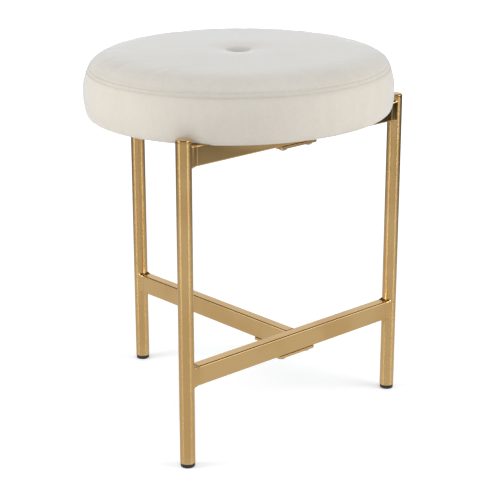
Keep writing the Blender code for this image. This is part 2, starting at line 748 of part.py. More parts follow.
def main():
    make_legs()
    leg_spaces = {}
    for side in LEG_AZIMUTHS:
        space = rod(TUBE_RADIUS + GAP, LEG_HEIGHT, TUBE_STEPS)
        leg_spaces[side] = add_cutter(f"leg_space_{side}", space, (*leg_place(side), 0.0))
    lower_cross = make_cross_bar("lower_cross_bar", LOWER_BAR_BOTTOM, leg_spaces)
    make_stem_bar("lower_stem_bar", LOWER_BAR_BOTTOM, leg_spaces)
    upper_cross = make_cross_bar("upper_cross_bar", UPPER_BAR_BOTTOM, leg_spaces)
    upper_stem = make_stem_bar("upper_stem_bar", UPPER_BAR_BOTTOM, leg_spaces)
    make_joint("lower", LOWER_BAR_BOTTOM, lower_cross)
    make_joint("upper", UPPER_BAR_BOTTOM, upper_cross)
    make_seat_fixings(upper_cross, upper_stem)
    make_seat_base()
    make_foam()
    make_cover()
    make_dust_cover()
    make_tuft()


main()
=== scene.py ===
"""Looks for the vanity stool: polished frame pieces, a sewn velvet cushion and studio light."""

import math

import bmesh
import bpy
import numpy as np
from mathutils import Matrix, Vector
from mathutils.bvhtree import BVHTree


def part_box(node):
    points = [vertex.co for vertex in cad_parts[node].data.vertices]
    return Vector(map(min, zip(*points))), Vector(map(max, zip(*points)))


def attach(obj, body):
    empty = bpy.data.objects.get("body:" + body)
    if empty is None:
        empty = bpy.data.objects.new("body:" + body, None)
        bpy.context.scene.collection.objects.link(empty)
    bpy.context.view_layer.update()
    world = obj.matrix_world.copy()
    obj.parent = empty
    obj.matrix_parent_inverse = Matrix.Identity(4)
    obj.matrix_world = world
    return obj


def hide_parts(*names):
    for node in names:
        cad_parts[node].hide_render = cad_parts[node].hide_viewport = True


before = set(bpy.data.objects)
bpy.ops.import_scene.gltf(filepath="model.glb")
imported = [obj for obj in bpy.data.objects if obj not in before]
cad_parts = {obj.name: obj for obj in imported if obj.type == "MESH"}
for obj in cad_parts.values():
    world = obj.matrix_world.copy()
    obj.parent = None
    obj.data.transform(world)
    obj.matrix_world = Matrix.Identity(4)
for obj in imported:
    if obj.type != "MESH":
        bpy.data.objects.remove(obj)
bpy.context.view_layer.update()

# Camera, fitted to the photo
CAMERA_PLACE = (-1.2797, -1.4216, 0.8444)
CAMERA_TILT = 71.72
CAMERA_TURN = -42.64
CAMERA_LENS = 109.6
CAMERA_SENSOR = 36.0

# Sizes repeated from the model's source
TUBE_WALL = 0.0012
CAP_EDGE = 0.0016
GLIDE_EDGE = 0.0015
BAR_WIDTH = 0.015
BAR_HEIGHT = 0.0254
BAR_CORNER = 0.0018
FILLET_REACH = 0.0035
PLATE_TAIL = 0.060
PLATE_CORNER = 0.003
PLATE_NOTCH = 0.004
JOINT_SCREW_DIAMETER = 0.006
JOINT_HEAD_HEIGHT = 0.0033
BULGE_HEIGHT = 0.028
EDGE_ROLL = 0.008
EDGE_FULLNESS = 2.8
HEM_WIDTH = 0.022
BUTTON_RIM_SHARE = 0.35
BUTTON_FOOT_SHARE = 0.9

# Finer facets than the model's own
TUBE_STEPS = 128
SMALL_STEPS = 96
SCREW_STEPS = 48
SOCKET_SIDES = 6
CORNER_STEPS = 8
BEVEL_STEPS = 3
FILLET_STEPS = 10
GROOVE_STEPS = 6
SEAT_STEPS = 480
EDGE_STEPS = 22
BUTTON_STEPS = 12
STITCH_SIDES = 6
STITCH_RINGS = 7
STAPLE_STEPS = 4


def measured(node):
    """A node's lowest and highest corners, its middle and half its width."""
    low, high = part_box(node)
    return low, high, (low + high) / 2, (high.x - low.x) / 2


# The seat, as the frame has it
BAND_LOW, BAND_HIGH, SEAT_MIDDLE, SEAT_RADIUS = measured("cover_side_band")
_, PANEL_HIGH, _, SEAM_RADIUS = measured("cover_top_panel")
SEAM_LEVEL = BAND_HIGH.z
HEM_LEVEL = BAND_LOW.z
BULGE_LEVEL = HEM_LEVEL + BULGE_HEIGHT
CROWN_LEVEL = PANEL_HIGH.z
UNDER_RADIUS = SEAT_RADIUS - EDGE_ROLL


# Materials

# Where a Mix node keeps its two colours and its result
MIX_COLOURS = (6, 7)
MIX_RESULT = 2

# The parts of a noise's range that its ramps spread out
NOISE_SPAN = (0.3, 0.7)
CLOUD_SPAN = (0.35, 0.65)


class Graph:
    """Short ways to add nodes to a material or the world."""

    def __init__(self, tree, place):
        self.nodes = tree.nodes
        self.links = tree.links
        self.place = self.nodes.new("ShaderNodeTexCoord").outputs[place]

    def add(self, kind, inputs):
        """A new node with its inputs set from numbers, tuples or other nodes' outputs."""
        node = self.nodes.new("ShaderNode" + kind)
        for socket, value in inputs.items():
            if isinstance(value, bpy.types.NodeSocket):
                self.links.new(value, node.inputs[socket])
            else:
                node.inputs[socket].default_value = value
        return node

    def out(self, kind, inputs):
        """The first output of a new node."""
        return self.add(kind, inputs).outputs[0]

    def mapped(self, scale=(1.0, 1.0, 1.0), turn=0.0):
        """The place, turned about the vertical and scaled along each axis."""
        inputs = {"Vector": self.place, "Scale": scale, "Rotation": (0.0, 0.0, math.radians(turn))}
        return self.out("Mapping", inputs)

    def noise(self, scale, detail, roughness=0.5, stretch=None):
        vector = self.mapped(stretch) if stretch else self.place
        inputs = {"Vector": vector, "Scale": scale, "Detail": detail, "Roughness": roughness}
        return self.add("TexNoise", inputs).outputs["Fac"]

    def cells(self, scale):
        return self.add("TexVoronoi", {"Vector": self.place, "Scale": scale}).outputs["Distance"]

    def ramp(self, value, low, high, to_low, to_high):
        """The value's range from low to high, mapped smoothly to another range."""
        inputs = {"Value": value, "From Min": low, "From Max": high, "To Min": to_low, "To Max": to_high}
        node = self.add("MapRange", inputs)
        node.interpolation_type = "SMOOTHSTEP"
        return node.outputs["Result"]

    def mix(self, share, first, second, blend="MIX"):
        """A colour between two, by a share from 0 to 1."""
        node = self.nodes.new("ShaderNodeMix")
        node.data_type = "RGBA"
        node.blend_type = blend
        sockets = (node.inputs["Factor"], *(node.inputs[place] for place in MIX_COLOURS))
        for socket, value in zip(sockets, (share, first, second)):
            if isinstance(value, bpy.types.NodeSocket):
                self.links.new(value, socket)
            else:
                socket.default_value = (*value, 1.0) if isinstance(value, tuple) else value
        return node.outputs[MIX_RESULT]

    def maths(self, operation, first, second=0.0):
        node = self.add("Math", {0: first, 1: second})
        node.operation = operation
        return node.outputs["Value"]

    def blended(self, *parts):
        """The sum of some values, each times its weight."""
        total, *others = [self.maths("MULTIPLY", value, weight) for value, weight in parts]
        for other in others:
            total = self.maths("ADD", total, other)
        return total

    def distance(self, first, second):
        """The length of a flat vector with these two parts."""
        squares = [self.maths("MULTIPLY", part, part) for part in (first, second)]
        return self.maths("SQRT", self.maths("ADD", *squares))

    def either(self, share, first, second):
        """A shader between two, by a share from 0 to 1."""
        return self.out("MixShader", {0: share, 1: first, 2: second})


class Shader(Graph):
    """A Principled material that is put together node by node."""

    def __init__(self, name, colour, roughness, metallic=0.0):
        self.material = bpy.data.materials.new(name)
        self.material.use_nodes = True
        self.material.diffuse_color = (*colour, 1.0)
        super().__init__(self.material.node_tree, "Object")
        self.surface = self.nodes["Principled BSDF"]
        self.set("Base Color", (*colour, 1.0))
        self.set("Roughness", roughness)
        self.set("Metallic", metallic)

    def set(self, socket, value):
        self.surface.inputs[socket].default_value = value

    def feed(self, socket, output):
        self.links.new(output, self.surface.inputs[socket])

    def tones(self, share, dark, light):
        """The base colour, between two by a share."""
        self.feed("Base Color", self.mix(share, dark, light))

    def polish(self, noise, low, high):
        """The roughness, between two by a noise."""
        self.feed("Roughness", self.ramp(noise, *NOISE_SPAN, low, high))

    def bump(self, height, distance, strength, onto=None):
        inputs = {"Strength": strength, "Distance": distance, "Height": height}
        if onto is not None:
            inputs["Normal"] = onto
        normal = self.out("Bump", inputs)
        self.feed("Normal", normal)
        return normal


BRASS_PLAIN = (0.79, 0.52, 0.225)
BRASS_DEEP = (0.760, 0.490, 0.205)
BRASS_PALE = (0.820, 0.555, 0.250)

# Polishing lines: how fine their noise is, and how rough their lows and highs are
BAR_ALONG, BAR_ACROSS = 30.0, 1600.0
BAR_POLISH = (0.045, 0.09)
LEG_LINES = (25.0, 25.0, 500.0)
LEG_POLISH = (0.225, 0.24)

# How far the round polish stretches the legs' gloss, and the turn that sets it upright
LEG_STRETCH = 0.95
LEG_STRETCH_TURN = 0.25

# How much rougher the plating gets where hands touch it
HANDLED = {"X": 0.05, "Y": 0.05, "Z": 0.008}
HANDLED_SPAN = (0.48, 0.75)


def brass_finish(name, along):
    """Polished brass-coloured plating with faint lines along one axis. Legs (axis Z) are polished
    round and round, which stretches what they reflect upwards."""
    shader = Shader(name, BRASS_PLAIN, roughness=0.12, metallic=1.0)
    cloud = shader.noise(14.0, 2.0)
    shader.tones(shader.ramp(cloud, *CLOUD_SPAN, 0.0, 1.0), BRASS_DEEP, BRASS_PALE)
    touched = shader.noise(45.0, 4.0, 0.6)
    handled = shader.ramp(touched, *HANDLED_SPAN, 0.0, HANDLED[along])
    if along == "Z":
        lines = shader.noise(1.0, 2.0, 0.6, stretch=LEG_LINES)
        polished = shader.ramp(lines, *NOISE_SPAN, *LEG_POLISH)
        tangent = shader.add("Tangent", {})
        tangent.direction_type = "RADIAL"
        tangent.axis = "Z"
        shader.feed("Tangent", tangent.outputs["Tangent"])
        shader.set("Anisotropic", LEG_STRETCH)
        shader.set("Anisotropic Rotation", LEG_STRETCH_TURN)
        shader.bump(shader.noise(40.0, 1.0), 0.00002, 0.2)
    else:
        stretch = tuple(BAR_ALONG if axis == along else BAR_ACROSS for axis in "XYZ")
        lines = shader.noise(1.0, 2.0, 0.6, stretch=stretch)
        polished = shader.ramp(lines, *NOISE_SPAN, *BAR_POLISH)
        waves = shader.bump(shader.noise(60.0, 1.0), 0.00002, 0.15)
        shader.bump(lines, 0.00001, 0.25, onto=waves)
    shader.feed("Roughness", shader.maths("ADD", polished, handled))
    return shader.material


def zinc_finish():
    shader = Shader("zinc_steel", (0.62, 0.62, 0.60), roughness=0.25, metallic=1.0)
    shader.tones(shader.noise(260.0, 3.0), (0.42, 0.42, 0.41), (0.60, 0.58, 0.54))
    shader.polish(shader.noise(700.0, 3.0), 0.17, 0.36)
    shader.bump(shader.noise(2400.0, 2.0), 0.00002, 0.4)
    return shader.material


def plastic_finish():
    shader = Shader("black_plastic", (0.02, 0.02, 0.02), roughness=0.45)
    shader.tones(shader.noise(120.0, 3.0), (0.013, 0.013, 0.013), (0.03, 0.029, 0.028))
    shader.polish(shader.noise(300.0, 3.0), 0.36, 0.55)
    shader.bump(shader.cells(3500.0), 0.00003, 0.5)
    return shader.material


VELVET_PLAIN = (0.675, 0.624, 0.554)
VELVET_LIGHT = (0.700, 0.645, 0.568)
VELVET_DARK = (0.660, 0.603, 0.525)
NAP_SPAN = (0.36, 0.64)

# Painted shade in the tuft's hollow, and the distances over which that fades
TUFT_PAINTED_SHADE = (0.620, 0.582, 0.520)
TUFT_SHADE_REACH = (0.010, 0.026)

# How much tone the pile keeps in the painted shade along the seam, and the distances of that fading
SEAM_PAINTED_SHADE = 0.94
SEAM_SHADE_REACH = (0.0025, 0.009)
TOPSTITCH_DROP = 0.0056

# How much tone it keeps between its fibres
FIBRE_TONE = (0.86, 1.0)
FIBRE_SPAN = (0.25, 0.6)


def velvet_finish():
    """Short cream pile: faint nap marks, fine tufts of fibre and a pale sheen, with painted shade in the
    tuft's hollow and along the seam.
    """
    shader = Shader("cream_velvet", VELVET_PLAIN, roughness=0.88)
    nap = shader.noise(7.0, 2.0, stretch=(1.0, 1.0, 2.0))
    brushed = shader.noise(60.0, 4.0, 0.65, stretch=(1.0, 1.0, 0.45))
    mottled = shader.noise(230.0, 3.0, 0.6)
    marks = shader.blended((nap, 0.4), (brushed, 0.3), (mottled, 0.3))
    tone = shader.mix(shader.ramp(marks, *NAP_SPAN, 0.0, 1.0), VELVET_DARK, VELVET_LIGHT)
    x, y, z = shader.add("SeparateXYZ", {0: shader.place}).outputs
    from_tuft = shader.distance(x, shader.maths("SUBTRACT", y, SEAT_MIDDLE[1]))
    # Painted shade: the pile darkens towards the tuft's middle
    tone = shader.mix(shader.ramp(from_tuft, *TUFT_SHADE_REACH, 0.0, 1.0), TUFT_PAINTED_SHADE, tone)
    # Painted shade: a darker band between the seam and the topstitch
    outside = shader.maths("SUBTRACT", from_tuft, SEAM_RADIUS)
    above = shader.maths("SUBTRACT", z, SEAM_LEVEL - TOPSTITCH_DROP / 2)
    seam_shade = shader.ramp(shader.distance(outside, above), *SEAM_SHADE_REACH, SEAM_PAINTED_SHADE, 1.0)
    tone = shader.mix(seam_shade, (0.0, 0.0, 0.0), tone)
    fibres = shader.noise(2600.0, 3.0, 0.7)
    shaded = shader.ramp(fibres, *FIBRE_SPAN, *FIBRE_TONE)
    shader.feed("Base Color", shader.mix(1.0, tone, shaded, "MULTIPLY"))
    shader.polish(brushed, 0.82, 0.95)
    shader.set("Specular IOR Level", 0.15)
    shader.set("Sheen Weight", 1.0)
    shader.set("Sheen Roughness", 0.30)
    shader.set("Sheen Tint", (0.89, 0.92, 0.96, 1.0))
    tufts = shader.bump(fibres, 0.0002, 0.45)
    shader.bump(brushed, 0.0008, 0.2, onto=tufts)
    return shader.material


def thread_finish(name, dark, light):
    shader = Shader(name, light, roughness=0.7)
    twist = shader.noise(3000.0, 2.0)
    shader.tones(twist, dark, light)
    shader.bump(twist, 0.0001, 0.5)
    return shader.material


def plywood_finish():
    shader = Shader("plywood", (0.56, 0.40, 0.23), roughness=0.7)
    plies = shader.noise(1.0, 2.0, stretch=(6.0, 6.0, 700.0))
    grain = shader.noise(1.0, 5.0, 0.6, stretch=(12.0, 260.0, 260.0))
    share = shader.ramp(shader.blended((plies, 0.5), (grain, 0.5)), *CLOUD_SPAN, 0.0, 1.0)
    shader.tones(share, (0.42, 0.28, 0.15), (0.66, 0.49, 0.30))
    shader.bump(grain, 0.0002, 0.4)
    return shader.material


def dust_cloth_finish():
    """Black non-woven cloth, bonded in small spots."""
    shader = Shader("black_cloth", (0.03, 0.03, 0.03), roughness=0.95)
    fibres = shader.noise(1500.0, 4.0, 0.7)
    shader.tones(fibres, (0.012, 0.012, 0.013), (0.05, 0.049, 0.047))
    shader.set("Sheen Weight", 0.2)
    matted = shader.bump(fibres, 0.0002, 0.6)
    shader.bump(shader.cells(800.0), 0.0002, 0.5, onto=matted)
    return shader.material


BRASS = {axis: brass_finish(f"brass_plate_{axis.lower()}", axis) for axis in "XYZ"}
ZINC = zinc_finish()
PLASTIC = plastic_finish()
VELVET = velvet_finish()
THREAD = thread_finish("cream_thread", (0.50, 0.44, 0.38), (0.68, 0.62, 0.55))
PLYWOOD = plywood_finish()
DUST_CLOTH = dust_cloth_finish()
TWINE = thread_finish("twine", (0.52, 0.44, 0.30), (0.72, 0.63, 0.46))


# Mesh helpers

MERGE_DISTANCE = 0.000001
LEVEL_TOLERANCE = 1e-7
LEAST_AREA = 1e-18


def placed(name, data):
    """A new object in the scene."""
    made = bpy.data.objects.new(name, data)
    bpy.context.scene.collection.objects.link(made)
    return made


def piece(name, mesh, material, slot, *replaced, sharp=35.0, soft=False):
    """A visible piece on the stool's one body that stands for some of its nodes. The flats of a hard
    one are shaded flat."""
    mesh.shade_smooth()
    mesh.set_sharp_from_angle(angle=math.radians(sharp))
    mesh.materials.clear()
    mesh.materials.append(material)
    made = placed(name, mesh)
    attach(made, "root")
    if replaced:
        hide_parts(*replaced)
    if not soft:
        flats = made.modifiers.new("flats", "WEIGHTED_NORMAL")
        flats.keep_sharp = True
    return made


def brass_piece(node, mesh, axis):
    """A brass piece that stands for one node, polished along an axis."""
    piece(f"{node}_polished", mesh, BRASS[axis], "brass_plate", node)


def mesh_from(points, faces):
    mesh = bpy.data.meshes.new("piece")
    mesh.from_pydata([tuple(map(float, p)) for p in points], [], faces)
    tidy = bmesh.new()
    tidy.from_mesh(mesh)
    bmesh.ops.remove_doubles(tidy, verts=tidy.verts, dist=MERGE_DISTANCE)
    bmesh.ops.recalc_face_normals(tidy, faces=tidy.faces)
    bmesh.ops.triangulate(tidy, faces=[face for face in tidy.faces if len(face.verts) > 4])
    if tidy.calc_volume(signed=True) < 0.0:
        bmesh.ops.reverse_faces(tidy, faces=tidy.faces)
    tidy.to_mesh(mesh)
    tidy.free()
    return mesh


def ring_faces(rows, count, first=0, closed=False, capped=False):
    """Faces between rings of points. Closed joins the last ring to the first, capped fills both."""
    faces = []
    for row in range(rows if closed else rows - 1):
        a = first + row * count
        b = first + (row + 1) % rows * count
        for i in range(count):
            j = (i + 1) % count
            faces.append((a + i, b + i, b + j, a + j))
    if capped:
        faces += [tuple(range(start, start + count)) for start in (first, first + (rows - 1) * count)]
    return faces


def full_turn(steps):
    return np.linspace(0.0, math.tau, steps, endpoint=False)


def turned(outline, turns, centre):
    """Places of an (r, z) outline at each turn about a centre, as rows, turns and x, y, z."""
    x = centre[0] + outline[:, None, 0] * np.cos(turns)
    y = centre[1] + outline[:, None, 0] * np.sin(turns)
    return np.stack([x, y, np.broadcast_to(outline[:, None, 1], x.shape)], -1)


def revolved(outline, steps, centre, closed=False):
    """Mesh of an (r, z) outline turned about the vertical through a centre."""
    points = turned(np.array(outline), full_turn(steps), centre)
    return mesh_from(points.reshape(-1, 3), ring_faces(len(outline), steps, closed=closed))


def arc(middle, radius, start, end, steps=CORNER_STEPS):
    """Points on an arc in a plane, by angles in degrees."""
    turns = [math.radians(start + (end - start) * i / steps) for i in range(steps + 1)]
    return [(middle[0] + radius * math.cos(t), middle[1] + radius * math.sin(t)) for t in turns]


def final_mesh(made):
    """The object's mesh with its modifiers applied. The object is removed."""
    bpy.context.view_layer.update()
    mesh = bpy.data.meshes.new_from_object(made.evaluated_get(bpy.context.evaluated_depsgraph_get()))
    bpy.data.objects.remove(made)
    return mesh


def rod(centre, radius, bottom, top, sides=SCREW_STEPS):
    return revolved([(0.0, top), (radius, top), (radius, bottom), (0.0, bottom)], sides, centre)


def cut(mesh, cutters):
    """The mesh with each cutter mesh taken away from it."""
    if not cutters:
        return mesh
    blank = placed("blank", mesh)
    tools = [placed("cutter", cutter) for cutter in cutters]
    for tool in tools:
        boolean = blank.modifiers.new("cut", "BOOLEAN")
        boolean.solver = "EXACT"
        boolean.object = tool
    result = final_mesh(blank)
    for tool in tools:
        bpy.data.objects.remove(tool)
    return result


# Frame

# Fine edges and gaps of the legs' pieces
TUBE_TOP_EDGE = 0.0002
TUBE_FOOT_EDGE = 0.0003
CAP_LOWER_EDGE = 0.0001
PLUG_GAP = 0.0002
GLIDE_GAP = 0.0003
GLIDE_UPPER_EDGE = 0.0003

# Welds, with rings that lie closer near the leg, by a power
BEAD_HEIGHT = 0.0005
GROOVE_DEPTH = 0.0004
GROOVE_WIDTH = 0.0018
FILLET_CROWDING = 1.5
GROOVE_END = FILLET_REACH / 10

# Seat screws that come up through each bar. The hole's height is a share of the head's width
BAR_SCREWS = {"upper_cross_bar": ("left", "right"), "upper_stem_bar": ("middle", "rear")}
SCREW_HOLE_SHARE = 0.6
SCREW_HOLE_GAP = 0.0004

# Plates and their screws. A socket's sizes are shares of the thread and of the head's height
PLATE_BEVEL = 0.0005
SHANK_GAP = 0.00015
HEAD_RIM = 0.0006
HEAD_EDGE = 0.0002
SOCKET_RADIUS_SHARE = 0.36
SOCKET_DEPTH_SHARE = 0.65
SOCKET_OVERCUT = 0.001


def make_leg(side):
    """Tube, cap and glide of one leg, each smoother than its node."""
    tube, cap, glide = f"leg_tube_{side}", f"leg_cap_{side}", f"foot_glide_{side}"
    low, high, centre, radius = measured(tube)
    cap_low, cap_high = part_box(cap)
    _, glide_high, _, glide_radius = measured(glide)
    bore = radius - TUBE_WALL
    plug = bore - PLUG_GAP
    outline = [
        (radius - TUBE_TOP_EDGE, high.z),
        (radius, high.z - TUBE_TOP_EDGE),
        (radius, low.z + TUBE_FOOT_EDGE),
        (radius - TUBE_FOOT_EDGE, low.z),
        (bore, low.z),
        (bore, high.z),
    ]
    brass_piece(tube, revolved(outline, TUBE_STEPS, centre, closed=True), "Z")

    # The cap is buffed flat, so it has a bar's finish
    outline = [
        (0.0, cap_high.z),
        *reversed(arc((radius - CAP_EDGE, cap_high.z - CAP_EDGE), CAP_EDGE, 0.0, 90.0)),
        (radius, high.z + CAP_LOWER_EDGE),
        (radius - CAP_LOWER_EDGE, high.z),
        (plug, high.z),
        (plug, cap_low.z),
        (0.0, cap_low.z),
    ]
    brass_piece(cap, revolved(outline, TUBE_STEPS, centre), "X")

    shoulder = low.z - GLIDE_GAP
    outline = [
        (0.0, glide_high.z),
        (plug, glide_high.z),
        (plug, shoulder),
        (glide_radius - GLIDE_UPPER_EDGE, shoulder),
        (glide_radius, shoulder - GLIDE_UPPER_EDGE),
        *arc((glide_radius - GLIDE_EDGE, GLIDE_EDGE), GLIDE_EDGE, 0.0, -90.0),
        (0.0, 0.0),
    ]
    mesh = revolved(outline, SMALL_STEPS, centre)
    piece(f"{glide}_moulded", mesh, PLASTIC, "black_plastic", glide)
    return centre, radius


def bar_outline(side, rise):
    """The bar's rounded section, swollen at its sides and by a rise, as (across, up) points."""
    across, up = BAR_WIDTH / 2 + side, BAR_HEIGHT / 2 + rise
    corner = BAR_CORNER + side
    points = []
    for x, y, start in ((1, -1, -90.0), (1, 1, 0.0), (-1, 1, 90.0), (-1, -1, 180.0)):
        points += arc((x * (across - corner), y * (up - corner)), corner, start, start + 90.0)
    return points


def weld_rise(distance, height):
    """How far the weld stands out from the bar, by the distance from its leg. A narrow groove parts
    its bead from the bar."""
    share = 1.0 - distance / FILLET_REACH
    if share > 0.0:
        return height * (1.0 - math.sqrt(1.0 - share * share)) + BEAD_HEIGHT * math.sin(math.pi * share)
    return -GROOVE_DEPTH * math.sin(math.pi * min((distance - FILLET_REACH) / GROOVE_WIDTH, 1.0))


def welded_end(radius, side, height):
    """Rings of (along from the leg's axis, across, up) for a weld that stands out by these at the
    bar's sides and above it."""
    rings = []
    for step in range(FILLET_STEPS + 1):
        share = (step / FILLET_STEPS) ** FILLET_CROWDING
        reach = share * FILLET_REACH
        ring = []
        for across, up in bar_outline(weld_rise(reach, side), weld_rise(reach, height)):
            on_tube = math.sqrt(max(radius**2 - across**2, 0.0))
            start = on_tube * (1.0 - share) + radius * share
            ring.append((start + reach, across, up))
        rings.append(ring)
    for step in range(1, GROOVE_STEPS + 1):
        reach = FILLET_REACH + GROOVE_WIDTH * step / GROOVE_STEPS
        sunk = weld_rise(reach, height)
        rings.append([(radius + reach, across, up) for across, up in bar_outline(sunk, sunk)])
    rings.append([(along + GROOVE_END, across, up) for along, across, up in rings[-1]])
    return rings


def make_bars(level, legs):
    """Cross bar and stem bar of one level, with their smooth welds."""
    cross, stem = f"{level}_cross_bar", f"{level}_stem_bar"
    low, high, middle, _ = measured(cross)
    side, height = (high.y - low.y - BAR_WIDTH) / 2, (high.z - low.z - BAR_HEIGHT) / 2
    ends = welded_end(legs["left"][1], side, height)
    left_x, right_x = legs["left"][0].x, legs["right"][0].x
    rings = [[(left_x + a, middle.y + c, middle.z + u) for a, c, u in ring] for ring in ends]
    rings += [[(right_x - a, middle.y + c, middle.z + u) for a, c, u in ring] for ring in reversed(ends)]
    make_bar(cross, rings, middle.z, "X")

    stem_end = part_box(stem)[0].y
    rear_y = legs["rear"][0].y
    rings = [[(c, rear_y - a, middle.z + u) for a, c, u in ring] for ring in ends]
    rings.append([(c, stem_end, middle.z + u) for c, u in bar_outline(0.0, 0.0)])
    make_bar(stem, rings, middle.z, "Y")
    return middle


def make_bar(name, rings, level, axis):
    """A closed bar from its rings of points, with a hole up to each seat screw's head in it."""
    holes = []
    for screw in BAR_SCREWS.get(name, ()):
        low, _, middle, head = measured(f"seat_screw_{screw}")
        top = low.z + 2 * head * SCREW_HOLE_SHARE
        holes.append(rod(middle, head + SCREW_HOLE_GAP, level - BAR_HEIGHT, top))
    points = [point for ring in rings for point in ring]
    mesh = mesh_from(points, ring_faces(len(rings), len(rings[0]), capped=True))
    brass_piece(name, cut(mesh, holes), axis)


def plate_outline(half, edge, tail):
    """The T plate's outline, counter-clockwise, from its front left corner."""
    c, n = PLATE_CORNER, PLATE_NOTCH
    return [
        *arc((-half + c, -edge + c), c, 180.0, 270.0),
        *arc((half - c, -edge + c), c, -90.0, 0.0),
        *arc((half - c, edge - c), c, 0.0, 90.0),
        *arc((edge + n, edge + n), n, 270.0, 180.0),
        *arc((edge - c, tail - c), c, 0.0, 90.0),
        *arc((-edge + c, tail - c), c, 90.0, 180.0),
        *arc((-edge - n, edge + n), n, 0.0, -90.0),
        *arc((-half + c, edge - c), c, 90.0, 180.0),
    ]


def make_joint(level, bar_middle):
    """Plate with bevelled edges, and two domed socket screws."""
    node = f"{level}_joint_plate"
    low, high, _, half = measured(node)
    edge = BAR_WIDTH / 2
    outline = plate_outline(half, edge, edge + PLATE_TAIL)
    shape = bmesh.new()
    bottom = shape.faces.new([shape.verts.new((x, bar_middle.y + y, low.z)) for x, y in outline])
    raised = bmesh.ops.extrude_face_region(shape, geom=[bottom])
    top = [v for v in raised["geom"] if isinstance(v, bmesh.types.BMVert)]
    bmesh.ops.translate(shape, verts=top, vec=(0.0, 0.0, high.z - low.z))
    bmesh.ops.recalc_face_normals(shape, faces=shape.faces)
    rims = [e for e in shape.edges if abs(e.verts[0].co.z - e.verts[1].co.z) < LEVEL_TOLERANCE]
    rounded = {"offset": PLATE_BEVEL, "segments": BEVEL_STEPS, "profile": 0.5, "affect": "EDGES"}
    bmesh.ops.bevel(shape, geom=rims, **rounded)
    mesh = bpy.data.meshes.new("plate")
    shape.to_mesh(mesh)
    shape.free()
    brass_piece(node, mesh, "X")

    for side in ("left", "right"):
        name = f"{level}_joint_screw_{side}"
        piece(f"{name}_domed", domed_screw(name), ZINC, "zinc_steel", name)


def domed_screw(node):
    """Domed screw, head down, with a hexagon socket."""
    low, high, middle, head = measured(node)
    bearing = low.z + JOINT_HEAD_HEIGHT
    shank = JOINT_SCREW_DIAMETER / 2 - SHANK_GAP
    dome = []
    for step in range(CORNER_STEPS):
        angle = math.radians(90.0) * step / CORNER_STEPS
        below = HEAD_RIM + (JOINT_HEAD_HEIGHT - HEAD_RIM) * math.sin(angle)
        dome.append((head * math.cos(angle), bearing - below))
    stem = [(0.0, high.z), (shank, high.z), (shank, bearing), (head - HEAD_EDGE, bearing)]
    body = revolved([*stem, *dome, (0.0, low.z)], SCREW_STEPS, middle)
    socket_top = low.z + JOINT_HEAD_HEIGHT * SOCKET_DEPTH_SHARE
    radius = JOINT_SCREW_DIAMETER * SOCKET_RADIUS_SHARE
    return cut(body, [rod(middle, radius, low.z - SOCKET_OVERCUT, socket_top, SOCKET_SIDES)])


LEGS = {side: make_leg(side) for side in ("left", "right", "rear")}
for level in ("lower", "upper"):
    make_joint(level, make_bars(level, LEGS))


# Cushion

BAR_Y = measured("upper_cross_bar")[2].y

# Crown, with a shallow dish round the tuft, and the tuft down to its button
CROWN_POWER = 13.0
CROWN_SINK = 0.0015
CROWN_RISE = 0.002
CROWN_REACH = 0.14
DISH_DEPTH = 0.0036
DISH_RADIUS = 0.028
TUFT_BOTTOM = 0.0225
TUFT_DEPTH = TUFT_BOTTOM - CROWN_SINK + CROWN_RISE - DISH_DEPTH
TUFT_FLOOR = 0.0055
TUFT_WALL = 0.0050
TUFT_POWER = 1.7

# Stretches of the crown, each with its start, its end and the step of its rows
CROWN_ROWS = (
    (0.0, 0.006, 0.002),
    (0.006, 0.020, 0.0005),
    (0.020, 0.05, 0.0015),
    (0.05, 0.15, 0.004),
    (0.15, SEAM_RADIUS - 0.006, 0.002),
    (SEAM_RADIUS - 0.006, SEAM_RADIUS, 0.0005),
)

# Rows of the side, closer under the seam, and the insets of the rows underneath
SIDE_FINE = 0.009
SIDE_FINE_STEP = 0.0004
SIDE_STEP = 0.002
HEM_ROWS = (0.002, 0.004, 0.006, 0.009, 0.012, 0.016, HEM_WIDTH)
UNDER_ROW = 0.08

# Seam and topstitch, with the pitches of their waves
SEAM_DEPTH = 0.0013
SEAM_UNEVEN = 0.3
SEAM_PITCHES = (0.011, 0.017)
SEAM_HALF_WIDTH = 0.0013
PUCKER = 0.00022
PUCKER_PITCHES = (0.008, 0.012)
PUCKER_REACH = 0.005
WAVE_SHIFTS = (-2, 0, 3)
TOPSTITCH_DEPTH = 0.0005
TOPSTITCH_HALF_WIDTH = 0.0007

# Stitches. How proud each lies and how far its ends dive are shares of the thread's radius
STITCH_PITCH = 0.0032
STITCH_LENGTH = 0.0024
STITCH_RADIUS = 0.00028
STITCH_PROUD = 0.9
STITCH_DIVE = 1.6
STITCH_TIP = 0.04

# The lean of the seat, and its soft lower edge, which hangs beside the bars
LEAN = 0.0026
CROWN_LEAN = 0.25
DROOP = 0.0026
DROOP_LEAN = 0.0032
DROOP_SPREAD = 0.009
SETTLING = 0.004
PRESS = 0.0009
SOFT_HEIGHT = 0.012
SOFT_INSET = 0.008

# Pleats of the hem, which fade at the seat's edge and towards its middle
PLEATS = 54
PLEAT_HEIGHT = 0.0014
PLEAT_WANDER = 1.5
PLEAT_PITCHES = (0.09, 0.15)
PLEAT_SHARPNESS = 0.6
PLEAT_OUTER, PLEAT_OUTER_FADE = UNDER_RADIUS + 0.001, 0.006
PLEAT_INNER, PLEAT_INNER_FADE = 0.09, 0.03

# How wide the button is partway up its rim, as shares of its radius and of the rim's height
BUTTON_TAPER = (0.97, 0.5)

# Staples of the dust cover
STAPLE_INSET = 0.007
STAPLE_PITCH = 0.038
STAPLE_CLEAR = 0.018
STAPLE_LENGTH = 0.010
STAPLE_WIDTH = 0.0012
STAPLE_THICKNESS = 0.0005
STAPLE_BEND = 0.0006
STAPLE_SINK = 0.0008
STAPLE_LEAN = 0.25

